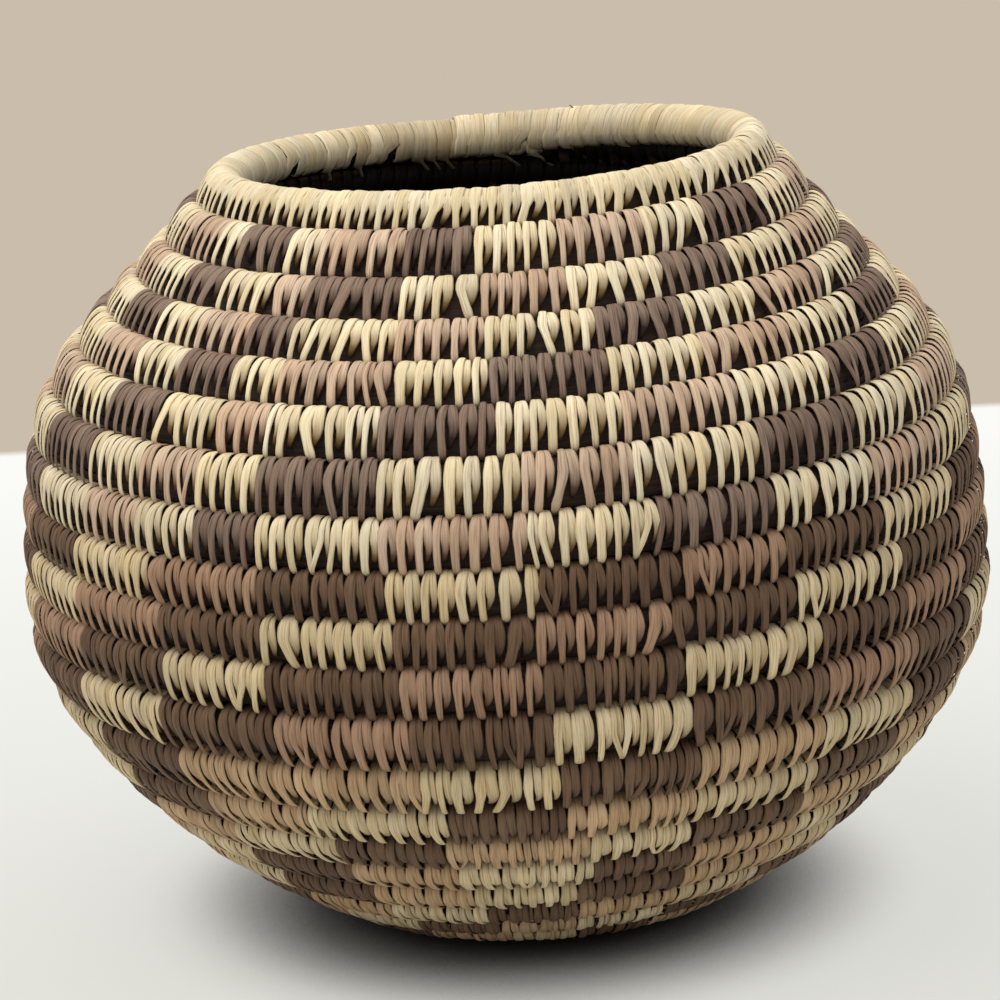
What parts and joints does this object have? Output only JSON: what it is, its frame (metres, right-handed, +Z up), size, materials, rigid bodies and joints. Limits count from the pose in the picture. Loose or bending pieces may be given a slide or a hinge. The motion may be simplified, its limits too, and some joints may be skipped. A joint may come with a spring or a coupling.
{
  "type": "coiled basket",
  "caption": "Round coiled storage basket with an open mouth and a thick rim, stitched in pale, tan and dark splints, standing on a flat base.",
  "frame": {"origin": "middle of the start knot's flat underside, on the surface that the basket stands on", "axes": "+Z up through the mouth; the front, as pictured, faces -Y; the coil climbs counter-clockwise seen from above"},
  "size_m": [0.2308, 0.2306, 0.1881],
  "materials": {
    "start_knot": "matt, dry splint stitching",
    "base_coil": "matt, dry splint stitching",
    "wall_course_01": "matt, dry splint stitching",
    "wall_course_02": "matt, dry splint stitching",
    "wall_course_03": "matt, dry splint stitching",
    "wall_course_04": "matt, dry splint stitching",
    "wall_course_05": "matt, dry splint stitching",
    "wall_course_06": "matt, dry splint stitching",
    "wall_course_07": "matt, dry splint stitching",
    "wall_course_08": "matt, dry splint stitching",
    "wall_course_09": "matt, dry splint stitching",
    "wall_course_10": "matt, dry splint stitching",
    "wall_course_11": "matt, dry splint stitching",
    "wall_course_12": "matt, dry splint stitching",
    "wall_course_13": "matt, dry splint stitching",
    "wall_course_14": "matt, dry splint stitching",
    "wall_course_15": "matt, dry splint stitching",
    "wall_course_16": "matt, dry splint stitching",
    "wall_course_17": "matt, dry splint stitching",
    "wall_course_18": "matt, dry splint stitching",
    "wall_course_19": "matt, dry splint stitching",
    "rim_coil": "matt, dry splint stitching"
  },
  "bodies": {
    "root": {"start_knot": "start_knot", "base_coil": "base_coil", "wall_course_01": "wall_course_01", "wall_course_02": "wall_course_02", "wall_course_03": "wall_course_03", "wall_course_04": "wall_course_04", "wall_course_05": "wall_course_05", "wall_course_06": "wall_course_06", "wall_course_07": "wall_course_07", "wall_course_08": "wall_course_08", "wall_course_09": "wall_course_09", "wall_course_10": "wall_course_10", "wall_course_11": "wall_course_11", "wall_course_12": "wall_course_12", "wall_course_13": "wall_course_13", "wall_course_14": "wall_course_14", "wall_course_15": "wall_course_15", "wall_course_16": "wall_course_16", "wall_course_17": "wall_course_17", "wall_course_18": "wall_course_18", "wall_course_19": "wall_course_19", "rim_coil": "rim_coil"}
  },
  "joints": []
}
